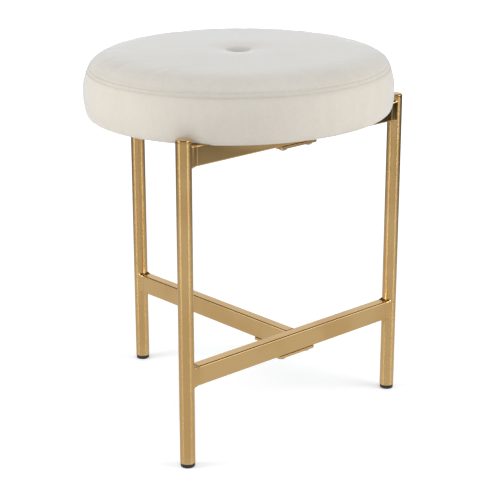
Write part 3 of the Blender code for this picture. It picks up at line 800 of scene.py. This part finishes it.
# Simulation of the cover, and how much of its swell shows
PUFF_VOXEL = 0.0045
PUFF_STEPS = 200
PUFF_SMALLER = 0.002
PUFF_BOTTOM = HEM_LEVEL + 0.001
PUFF_PRESSURE = 4.0
PUFF_FRAMES = 20
PUFF_CAP = 0.0010
PUFF_SHARE = 0.32

# Where the cover is held, and how firmly at its looser places
UNDER_BAND = 0.003
UNDER_EDGE = 0.016
UNDER_EDGE_HOLD = 0.3
TUFT_HOLD_SHARE = 0.6
SEAM_HOLD = 0.5

# How the top is laid flat before the tuft draws it in
GATHER_SHARE = 0.35
LAID_REACH = 0.06
LAID_LEVEL = HEM_LEVEL + 0.02
LAID_FADE = 0.07


def crown_level(radius):
    top = CROWN_LEVEL - CROWN_SINK
    roll = (top - SEAM_LEVEL) * (radius / SEAM_RADIUS) ** CROWN_POWER
    roll -= CROWN_RISE * max(1.0 - (radius / CROWN_REACH) ** 2, 0.0) ** 2
    dish = DISH_DEPTH * math.exp(-((radius / DISH_RADIUS) ** 2))
    outside = max(radius - TUFT_FLOOR, 0.0) / TUFT_WALL
    return top - roll - dish - TUFT_DEPTH * math.exp(-(outside**TUFT_POWER))


def spaced(start, end, step):
    """Values about a step apart, from start and without end."""
    count = max(round((end - start) / step), 1)
    return [start + (end - start) * i / count for i in range(count)]


def seat_profile():
    """Points (r, z) from the middle of the top, over the seam, to the middle of the underside."""
    points = [(r, crown_level(r)) for row in CROWN_ROWS for r in spaced(*row)]
    seam = len(points)
    span = SEAM_LEVEL - BULGE_LEVEL
    fine = SIDE_FINE / span
    for share in spaced(0.0, fine, SIDE_FINE_STEP / span) + spaced(fine, 1.0, SIDE_STEP / span):
        radius = SEAM_RADIUS + (SEAT_RADIUS - SEAM_RADIUS) * math.sin(math.pi / 2 * share)
        points.append((radius, SEAM_LEVEL - span * share))
    for step in range(EDGE_STEPS + 1):
        angle = math.pi / 2 * step / EDGE_STEPS
        out = max(math.cos(angle), 0.0) ** (2 / EDGE_FULLNESS)
        down = math.sin(angle) ** (2 / EDGE_FULLNESS)
        points.append((SEAT_RADIUS - EDGE_ROLL * (1.0 - out), BULGE_LEVEL - BULGE_HEIGHT * down))
    points += [(UNDER_RADIUS - inset, HEM_LEVEL) for inset in HEM_ROWS]
    points += [(UNDER_ROW, HEM_LEVEL), (0.0, HEM_LEVEL)]
    return np.array(points), seam


def ripples(turns, pitches, seed):
    """Smooth waves from -1 to 1 around the seat, about as long as the given pitches."""
    chance = np.random.default_rng(seed)
    total = np.zeros_like(turns)
    for pitch in pitches:
        count = round(math.tau * SEAM_RADIUS / pitch)
        for shift in WAVE_SHIFTS:
            strength = chance.uniform(0.5, 1.0)
            total += strength * np.sin((count + shift) * turns + chance.uniform(0.0, math.tau))
    return total / np.abs(total).max()


def hold_cover(cover, radius, height):
    """Weights that hold the cover at the board, the seam and the tuft."""
    held = cover.vertex_groups.new(name="held")
    for index, (r, z) in enumerate(zip(radius, height)):
        if z < HEM_LEVEL + UNDER_BAND:
            weight = 1.0 if r < SEAT_RADIUS - UNDER_EDGE else UNDER_EDGE_HOLD
        elif r < TUFT_FLOOR and z < CROWN_LEVEL - TUFT_HOLD_SHARE * TUFT_DEPTH:
            weight = 1.0
        elif math.hypot(r - SEAM_RADIUS, z - SEAM_LEVEL) < PUFF_VOXEL:
            weight = SEAM_HOLD
        else:
            continue
        held.add([index], weight, "REPLACE")


def lay_cover(cover, places, radius, top_profile, top_travel):
    """A shape key with the top laid flat and wide, as before the tuft draws it in."""
    cover.shape_key_add(name="tufted")
    laid = cover.shape_key_add(name="laid")
    laid.value = 0.0
    height = places[:, 2]
    on_top = (height > SEAM_LEVEL) | ((radius < LAID_REACH) & (height > LAID_LEVEL))
    travel = np.interp(radius, top_profile[:, 0], top_travel)
    inward = 1.0 - np.clip(radius / SEAM_RADIUS, 0.0, 1.0)
    out = (radius + GATHER_SHARE * (travel - radius) * inward**2) / np.maximum(radius, MERGE_DISTANCE)
    flat = np.interp(radius, [0.0, LAID_FADE], [1.0, 0.0])
    for index in np.nonzero(on_top)[0]:
        x, y, z = places[index]
        laid.data[index].co = (
            SEAT_MIDDLE[0] + (x - SEAT_MIDDLE[0]) * out[index],
            SEAT_MIDDLE[1] + (y - SEAT_MIDDLE[1]) * out[index],
            z + (CROWN_LEVEL - PUFF_SMALLER - z) * flat[index],
        )
    return laid


def inflated(cover, laid):
    """Where the cover's points lie after it is put under pressure."""
    cloth = cover.modifiers.new("cloth", "CLOTH")
    settings = cloth.settings
    settings.quality = 6
    settings.mass = 0.3
    settings.tension_stiffness = 15.0
    settings.compression_stiffness = 15.0
    settings.shear_stiffness = 5.0
    settings.bending_stiffness = 0.5
    settings.air_damping = 2.0
    settings.use_pressure = True
    settings.uniform_pressure_force = PUFF_PRESSURE
    settings.vertex_group_mass = "held"
    settings.rest_shape_key = laid
    settings.effector_weights.gravity = 0.0
    cloth.collision_settings.use_collision = False
    for frame_number in range(1, PUFF_FRAMES + 1):
        bpy.context.scene.frame_set(frame_number)
    depsgraph = bpy.context.evaluated_depsgraph_get()
    places = np.array([v.co for v in cover.evaluated_get(depsgraph).data.vertices])
    bpy.context.scene.frame_set(1)
    return places


def simulated_cover(profile, normals, travel, seam, turns):
    """How far each point of the cover moves out under pressure, apart from its ring's own mean. The
    cloth is wider at the tuft than the dimple there, so it gathers."""
    sizes = np.where(profile[:, 1] > PUFF_BOTTOM, PUFF_SMALLER, 0.0)
    smaller = profile - normals * sizes[:, None]
    smaller[0, 0] = smaller[-1, 0] = 0.0
    start = placed("cover", revolved(smaller, PUFF_STEPS, SEAT_MIDDLE))
    remesh = start.modifiers.new("remesh", "REMESH")
    remesh.mode = "VOXEL"
    remesh.voxel_size = PUFF_VOXEL
    mesh = final_mesh(start)
    cover = placed("cover", mesh)
    places = np.array([v.co for v in mesh.vertices])
    radius = np.hypot(places[:, 0] - SEAT_MIDDLE[0], places[:, 1] - SEAT_MIDDLE[1])
    hold_cover(cover, radius, places[:, 2])
    laid = lay_cover(cover, places, radius, profile[: seam + 1], travel[: seam + 1])
    moved = inflated(cover, laid) - places

    mesh.calc_loop_triangles()
    corners = np.array([t.vertices for t in mesh.loop_triangles])
    tree = BVHTree.FromPolygons([Vector(p) for p in places], corners.tolist())
    bpy.data.objects.remove(cover)
    fine = turned(smaller, turns, SEAT_MIDDLE)
    field = np.zeros(fine.shape[:2])
    cosines, sines = np.cos(turns), np.sin(turns)
    for row in range(1, len(profile) - 1):
        if profile[row, 1] <= HEM_LEVEL + MERGE_DISTANCE:
            continue
        for step in range(len(turns)):
            spot, _, face, _ = tree.find_nearest(Vector(fine[row, step]))
            near = corners[face]
            weights = barycentric(spot, *places[near])
            shift = sum(weight * move for weight, move in zip(weights, moved[near]))
            along = shift[0] * cosines[step] + shift[1] * sines[step]
            field[row, step] = along * normals[row, 0] + shift[2] * normals[row, 1]
    field -= field.mean(axis=1, keepdims=True)
    return PUFF_CAP * np.tanh(PUFF_SHARE * field / PUFF_CAP)


def barycentric(spot, a, b, c):
    spot, side, other = np.array(spot) - a, b - a, c - a
    ss, so, oo = side @ side, side @ other, other @ other
    ps, po = spot @ side, spot @ other
    whole = max(ss * oo - so * so, LEAST_AREA)
    v = (oo * ps - so * po) / whole
    w = (ss * po - so * ps) / whole
    return 1.0 - v - w, v, w


def photo_left(places):
    """How far places lie to the photo's left of the seat's middle, as a share of its radius."""
    turn = math.radians(CAMERA_TURN)
    x, y = places[..., 0] - SEAT_MIDDLE[0], places[..., 1] - SEAT_MIDDLE[1]
    return -(x * math.cos(turn) + y * math.sin(turn)) / SEAT_RADIUS


def sew(rise, from_seam, turns):
    """Draw the surface in at the seam and the topstitch, and pucker it beside them."""
    depth = SEAM_DEPTH * (1.0 + SEAM_UNEVEN * ripples(turns, SEAM_PITCHES, seed=3))
    rise -= depth * np.exp(-((from_seam / SEAM_HALF_WIDTH) ** 2))[:, None]
    from_stitches = (from_seam - TOPSTITCH_DROP) / TOPSTITCH_HALF_WIDTH
    rise -= TOPSTITCH_DEPTH * np.exp(-(from_stitches**2))[:, None]
    near = np.exp(-((from_seam / PUCKER_REACH) ** 2))[:, None]
    above, below = [ripples(turns, PUCKER_PITCHES, seed) for seed in (5, 8)]
    rise += PUCKER * near * np.where(from_seam[:, None] < 0.0, above, below)


def settled(places, heights, share):
    """Heights of the lower edge after it sags by a share beside the bars that it rests on, and more
    at the photo's left."""
    x, y = places[..., 0], places[..., 1]
    from_cross = np.abs(y - BAR_Y)
    from_stem = np.where(y > BAR_Y, np.abs(x), 1.0)
    gap = np.clip((np.minimum(from_cross, from_stem) - BAR_WIDTH / 2) / DROOP_SPREAD, 0.0, 1.0)
    hanging = heights - (DROOP + DROOP_LEAN * photo_left(places)) * share
    resting = np.maximum(heights - SETTLING * share, HEM_LEVEL - PRESS * share)
    free = gap * gap * (3.0 - 2.0 * gap)
    return resting + (hanging - resting) * free


def hem(points, profile, seam, turns):
    """Let the soft lower edge sag, and pleat the cloth that is turned under it."""
    radius, height = profile[:, 0, None], profile[:, 1, None]
    below = (np.arange(len(profile)) > seam)[:, None]
    low = np.clip((HEM_LEVEL + SOFT_HEIGHT - height) / SOFT_HEIGHT, 0.0, 1.0) ** 2
    outer = np.clip((radius - UNDER_RADIUS + SOFT_INSET) / SOFT_INSET, 0.0, 1.0) * below
    points[..., 2] = settled(points, points[..., 2], low * outer)
    under = low**2 * np.clip((PLEAT_OUTER - radius) / PLEAT_OUTER_FADE, 0.0, 1.0) * below
    within = np.clip((radius - PLEAT_INNER) / PLEAT_INNER_FADE, 0.0, 1.0)
    wander = PLEAT_WANDER * ripples(turns, PLEAT_PITCHES, seed=12)
    fold = np.abs(np.sin(PLEATS / 2 * turns + wander)) ** PLEAT_SHARPNESS
    points[..., 2] += PLEAT_HEIGHT * (1.0 - fold) * under * within


def make_cushion():
    """Velvet cover over its foam: crowned top, tuft, sewn seam, topstitch and pleated hem."""
    profile, seam = seat_profile()
    along = np.gradient(profile, axis=0)
    normals = np.stack([-along[:, 1], along[:, 0]], -1)
    normals /= np.linalg.norm(normals, axis=1, keepdims=True)
    travel = np.concatenate([[0.0], np.cumsum(np.linalg.norm(np.diff(profile, axis=0), axis=1))])
    from_seam = travel - travel[seam]
    turns = full_turn(SEAT_STEPS)
    rise = simulated_cover(profile, normals, travel, seam, turns)
    sew(rise, from_seam, turns)
    outward = turned(normals, turns, (0.0, 0.0))
    points = turned(profile, turns, SEAT_MIDDLE) + outward * rise[..., None]

    heights, shares = [HEM_LEVEL, SEAM_LEVEL, CROWN_LEVEL], [0.0, 1.0, CROWN_LEAN]
    points[..., 2] -= LEAN * photo_left(points) * np.interp(points[..., 2], heights, shares)
    hem(points, profile, seam, turns)

    mesh = mesh_from(points.reshape(-1, 3), ring_faces(len(profile), SEAT_STEPS))
    replaced = ("cover_top_panel", "cover_side_band", "foam_pad")
    cushion = piece("seat_cushion", mesh, VELVET, "cream_velvet", *replaced, sharp=80.0, soft=True)

    stitched = np.argmin(np.abs(from_seam - TOPSTITCH_DROP))
    make_topstitch(points[stitched], outward[stitched], turns)


def make_topstitch(line, outward, turns):
    """A row of short thread stitches that lie in the groove below the seam."""
    count = round(math.tau * SEAM_RADIUS / STITCH_PITCH)
    half = STITCH_LENGTH / 2 / SEAM_RADIUS
    points, faces = [], []
    for stitch in range(count):
        middle = math.tau * stitch / count
        faces += ring_faces(STITCH_RINGS, STITCH_SIDES, first=len(points), capped=True)
        for ring in range(STITCH_RINGS):
            share = 2.0 * ring / (STITCH_RINGS - 1) - 1.0
            turn = (middle + half * share) % math.tau
            at = np.array([np.interp(turn, turns, line[:, i], period=math.tau) for i in range(3)])
            out = np.array([np.interp(turn, turns, outward[:, i], period=math.tau) for i in range(3)])
            tangent = np.array([-math.sin(turn), math.cos(turn), 0.0])
            across = np.cross(tangent, out)
            thick = STITCH_RADIUS * math.sqrt(max(1.0 - share**4, STITCH_TIP))
            centre = at + out * STITCH_RADIUS * (STITCH_PROUD - STITCH_DIVE * share**4)
            for side in range(STITCH_SIDES):
                angle = math.tau * side / STITCH_SIDES
                points.append(centre + thick * (math.cos(angle) * out + math.sin(angle) * across))
    piece("seat_topstitch", mesh_from(points, faces), THREAD, "cream_velvet", soft=True)


def make_tuft_button():
    low, high, middle, radius = measured("tuft_button")
    height = high.z - low.z
    rim = height * BUTTON_RIM_SHARE
    outline = [(0.0, high.z)]
    for step in range(1, BUTTON_STEPS + 1):
        angle = math.pi / 2 * step / BUTTON_STEPS
        outline.append((radius * math.sin(angle), low.z + rim + (height - rim) * math.cos(angle)))
    outline.append((radius * BUTTON_TAPER[0], low.z + rim * BUTTON_TAPER[1]))
    outline += [(radius * BUTTON_FOOT_SHARE, low.z), (0.0, low.z)]
    mesh = revolved(outline, SMALL_STEPS, middle)
    made = piece("tuft_button_covered", mesh, VELVET, "cream_velvet", "tuft_button")


def make_staples():
    """Flat staples that hold the dust cover to the board, between the bars."""
    low, _, middle, radius = measured("dust_cover")
    ring = radius - STAPLE_INSET
    count = round(math.tau * ring / STAPLE_PITCH)
    chance = np.random.default_rng(seed=21)
    points, faces = [], []
    for index in range(count):
        turn = math.tau * (index + 0.5) / count
        place = Vector((middle.x + ring * math.cos(turn), middle.y + ring * math.sin(turn), low.z))
        lean = chance.uniform(-STAPLE_LEAN, STAPLE_LEAN)
        near_cross = abs(place.y - BAR_Y) < STAPLE_CLEAR
        if near_cross or (abs(place.x) < STAPLE_CLEAR and place.y > BAR_Y):
            continue
        wire = staple_points(place, turn + math.pi / 2 + lean)
        faces += ring_faces(len(wire) // 4, 4, first=len(points), capped=True)
        points += wire
    piece("dust_cover_staples", mesh_from(points, faces), ZINC, "zinc_steel")


def staple_points(place, turn):
    """Rings of four points along a staple, whose ends are bent up into the cloth."""
    half, bend = STAPLE_LENGTH / 2, STAPLE_BEND
    path = [(-half, STAPLE_SINK)]
    for end, start in ((bend - half, 180.0), (half - bend, 270.0)):
        corner = arc((0.0, bend), bend, start, start + 90.0, STAPLE_STEPS)
        path += [(x + end, z - bend / 2) for x, z in corner]
    path.append((half, STAPLE_SINK))
    along = Vector((math.cos(turn), math.sin(turn), 0.0))
    across = Vector((-along.y, along.x, 0.0))
    points = []
    for index, (x, z) in enumerate(path):
        before, after = path[max(index - 1, 0)], path[min(index + 1, len(path) - 1)]
        slope = Vector((after[0] - before[0], after[1] - before[1])).normalized()
        for wide, thick in ((-1, -1), (1, -1), (1, 1), (-1, 1)):
            shift = thick * STAPLE_THICKNESS / 2
            at = place + along * (x - slope.y * shift) + Vector((0.0, 0.0, z + slope.x * shift))
            points.append(at + across * (wide * STAPLE_WIDTH / 2))
    return points


make_cushion()
make_tuft_button()
make_staples()

# The model's own pieces that still show are zinc-plated, but for these
OTHERS = {"dust_cover": DUST_CLOTH, "plywood_base": PLYWOOD, "tuft_twine": TWINE, "tuft_washer": PLASTIC}
for name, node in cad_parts.items():
    if not node.hide_render:
        for material_slot in node.material_slots:
            material_slot.material = OTHERS.get(name, ZINC)


# Floor, light and camera

FLOOR_HALF = 6.0
PALE = (0.86, 0.86, 0.86, 1.0)
WHITE = (1.0, 1.0, 1.0, 1.0)

# The floor's own glow, near the stool and far from it
GLOW = (0.32, 1.0)
GLOW_REACH = (0.3, 3.0)

# What the metal reflects from the floor: a pool of light round a middle (right, forward)
POOL_MIDDLE = (-0.1, -0.6)
POOL_EDGE = (1.02, 1.30)
POOL_END = 2.15
POOL_EXTRA = 0.28
POOL_POWER = (0.34, 0.04)

# A painted glowing patch on the floor, which only the upper bar's face mirrors
GLOW_PATCH_MIDDLE = (1.65, -0.19)
GLOW_PATCH_EDGE = (0.12, 0.19)
GLOW_PATCH_POWER = 0.27

# Painted glow on the floor's front, at the camera's side
FRONT_EDGE = (-1.2, -0.6)
FRONT_POWER = 0.14

# The backdrop, brighter ahead of the camera than beside and behind it
BACKDROP = (0.74, 0.54)
BACKDROP_EDGE = np.radians((40.0, 60.0))

# A soft box and a strip light at each side, and a dark ceiling
BOX_ANGLE = math.radians(97.0)
BOX_EDGE = np.radians((8.0, 14.0))
BOX_POWER = 1.1
STRIP_ANGLE = math.radians(118.0)
STRIP_EDGE = np.radians((5.0, 16.0))
STRIP_POWER = 3.6
ROOM_EDGE = (0.40, 0.52)
ROOM_DARK = (0.09, 0.085, 0.08)

# The even light that falls on everything
FILL = (0.91, 0.955, 1.0, 1.0)
FILL_POWER = 0.66

# Lamps that the metal doesn't mirror: azimuth, elevation, distance, size, power and colour
LAMP_TARGET = Vector((0.0, 0.0, 0.25))
LAMP_WHITE = (1.0, 0.975, 0.95)
LAMPS = {
    "left_box": (-118.0, 24.0, 1.8, (1.0, 1.4), 15.0, LAMP_WHITE),
    "right_box": (32.0, 24.0, 1.8, (1.0, 1.4), 13.6, LAMP_WHITE),
    "front_box": (-42.0, 0.0, 1.8, (1.6, 0.4), 3.4, LAMP_WHITE),
    "top_box": (-42.0, 85.0, 1.6, (1.6, 1.6), 1.7, (0.58, 0.79, 1.0)),
}


def turned_places(graph):
    """Right, forward and up parts of a place, as the camera looks."""
    return graph.add("SeparateXYZ", {0: graph.mapped(turn=-CAMERA_TURN)}).outputs


def floor_light(graph):
    """How bright each place of the floor looks in the metal."""
    right, forward, _ = turned_places(graph)
    from_pool, from_glow_patch = [
        graph.distance(graph.maths("SUBTRACT", right, x), graph.maths("SUBTRACT", forward, y))
        for x, y in (POOL_MIDDLE, GLOW_PATCH_MIDDLE)
    ]
    extra = graph.ramp(from_pool, *POOL_EDGE, POOL_EXTRA, 0.0)
    pool = graph.ramp(from_pool, POOL_EDGE[1], POOL_END, *POOL_POWER)
    # Painted glow of a patch on the floor
    glow_patch = graph.ramp(from_glow_patch, *GLOW_PATCH_EDGE, GLOW_PATCH_POWER, 0.0)
    # Painted glow on the floor's front
    front = graph.ramp(forward, *FRONT_EDGE, FRONT_POWER, 0.0)
    return graph.maths("ADD", graph.maths("ADD", extra, pool), graph.maths("ADD", glow_patch, front))


def empty_graph(owner, place):
    """A graph for a new material or world, and what tells the kinds of ray apart."""
    owner.use_nodes = True
    owner.node_tree.nodes.clear()
    graph = Graph(owner.node_tree, place)
    return graph, graph.nodes.new("ShaderNodeLightPath").outputs


def make_floor():
    """A pale floor, white behind the object, that keeps its shadow."""
    mesh = bpy.data.meshes.new("floor")
    corners = [(x * FLOOR_HALF, y * FLOOR_HALF, 0.0) for x, y in ((-1, -1), (1, -1), (1, 1), (-1, 1))]
    mesh.from_pydata(corners, [], [(0, 1, 2, 3)])
    placed("floor", mesh)
    material = bpy.data.materials.new("floor")
    mesh.materials.append(material)
    graph, path = empty_graph(material, "Object")
    mirrored = graph.out("Emission", {"Strength": floor_light(graph)})
    diffuse = graph.out("BsdfDiffuse", {"Color": PALE})
    radius = graph.add("VectorMath", {0: graph.place})
    radius.operation = "LENGTH"
    glow = graph.ramp(radius.outputs["Value"], *GLOW_REACH, *GLOW)
    lit = graph.out("AddShader", {0: diffuse, 1: graph.out("Emission", {"Strength": glow})})
    output = graph.nodes.new("ShaderNodeOutputMaterial")
    seen = graph.either(path["Is Glossy Ray"], diffuse, mirrored)
    graph.links.new(graph.either(path["Is Camera Ray"], seen, lit), output.inputs["Surface"])


def make_world():
    """White behind the object, an even soft fill, and a studio for the metal to reflect."""
    world = bpy.data.worlds.new("studio")
    bpy.context.scene.world = world
    graph, path = empty_graph(world, "Generated")
    right, forward, up = turned_places(graph)
    angle = graph.maths("ABSOLUTE", graph.maths("ARCTAN2", right, forward))
    low = graph.ramp(angle, *BACKDROP_EDGE, *BACKDROP)
    for middle, edge, power in ((BOX_ANGLE, BOX_EDGE, BOX_POWER), (STRIP_ANGLE, STRIP_EDGE, STRIP_POWER)):
        miss = graph.maths("ABSOLUTE", graph.maths("SUBTRACT", angle, middle))
        low = graph.mix(1.0, low, graph.ramp(miss, *edge, power, 0.0), "ADD")
    room = graph.mix(graph.ramp(up, *ROOM_EDGE, 0.0, 1.0), low, ROOM_DARK)
    studio = graph.out("Background", {"Color": room, "Strength": 1.0})
    fill = graph.out("Background", {"Color": FILL, "Strength": FILL_POWER})
    shown = graph.out("Background", {"Color": WHITE, "Strength": 1.0})
    plain = graph.maths("MAXIMUM", path["Is Camera Ray"], path["Is Transmission Ray"])
    output = graph.nodes.new("ShaderNodeOutputWorld")
    reflected = graph.either(path["Is Glossy Ray"], fill, studio)
    graph.links.new(graph.either(plain, reflected, shown), output.inputs["Surface"])


def make_lamp(name, azimuth, elevation, distance, size, power, colour):
    """A soft box that faces the stool from an azimuth, 0 being along -Y and 90 along +X."""
    lamp = bpy.data.lights.new(name, "AREA")
    lamp.shape = "RECTANGLE"
    lamp.size, lamp.size_y = size
    lamp.energy = power
    lamp.color = colour
    a, e = math.radians(azimuth), math.radians(elevation)
    back = Vector((math.sin(a) * math.cos(e), -math.cos(a) * math.cos(e), math.sin(e)))
    made = placed(name, lamp)
    made.location = LAMP_TARGET + back * distance
    made.rotation_mode = "QUATERNION"
    made.rotation_quaternion = (-back).to_track_quat("-Z", "Y")
    made.visible_glossy = False


def make_camera():
    data = bpy.data.cameras.new("camera")
    data.sensor_width = CAMERA_SENSOR
    data.lens = CAMERA_LENS
    camera = placed("camera", data)
    camera.location = CAMERA_PLACE
    camera.rotation_euler = (math.radians(CAMERA_TILT), 0.0, math.radians(CAMERA_TURN))
    bpy.context.scene.camera = camera


bpy.context.scene.view_settings.view_transform = "Standard"
make_camera()
make_floor()
make_world()
for name, settings in LAMPS.items():
    make_lamp(name, *settings)
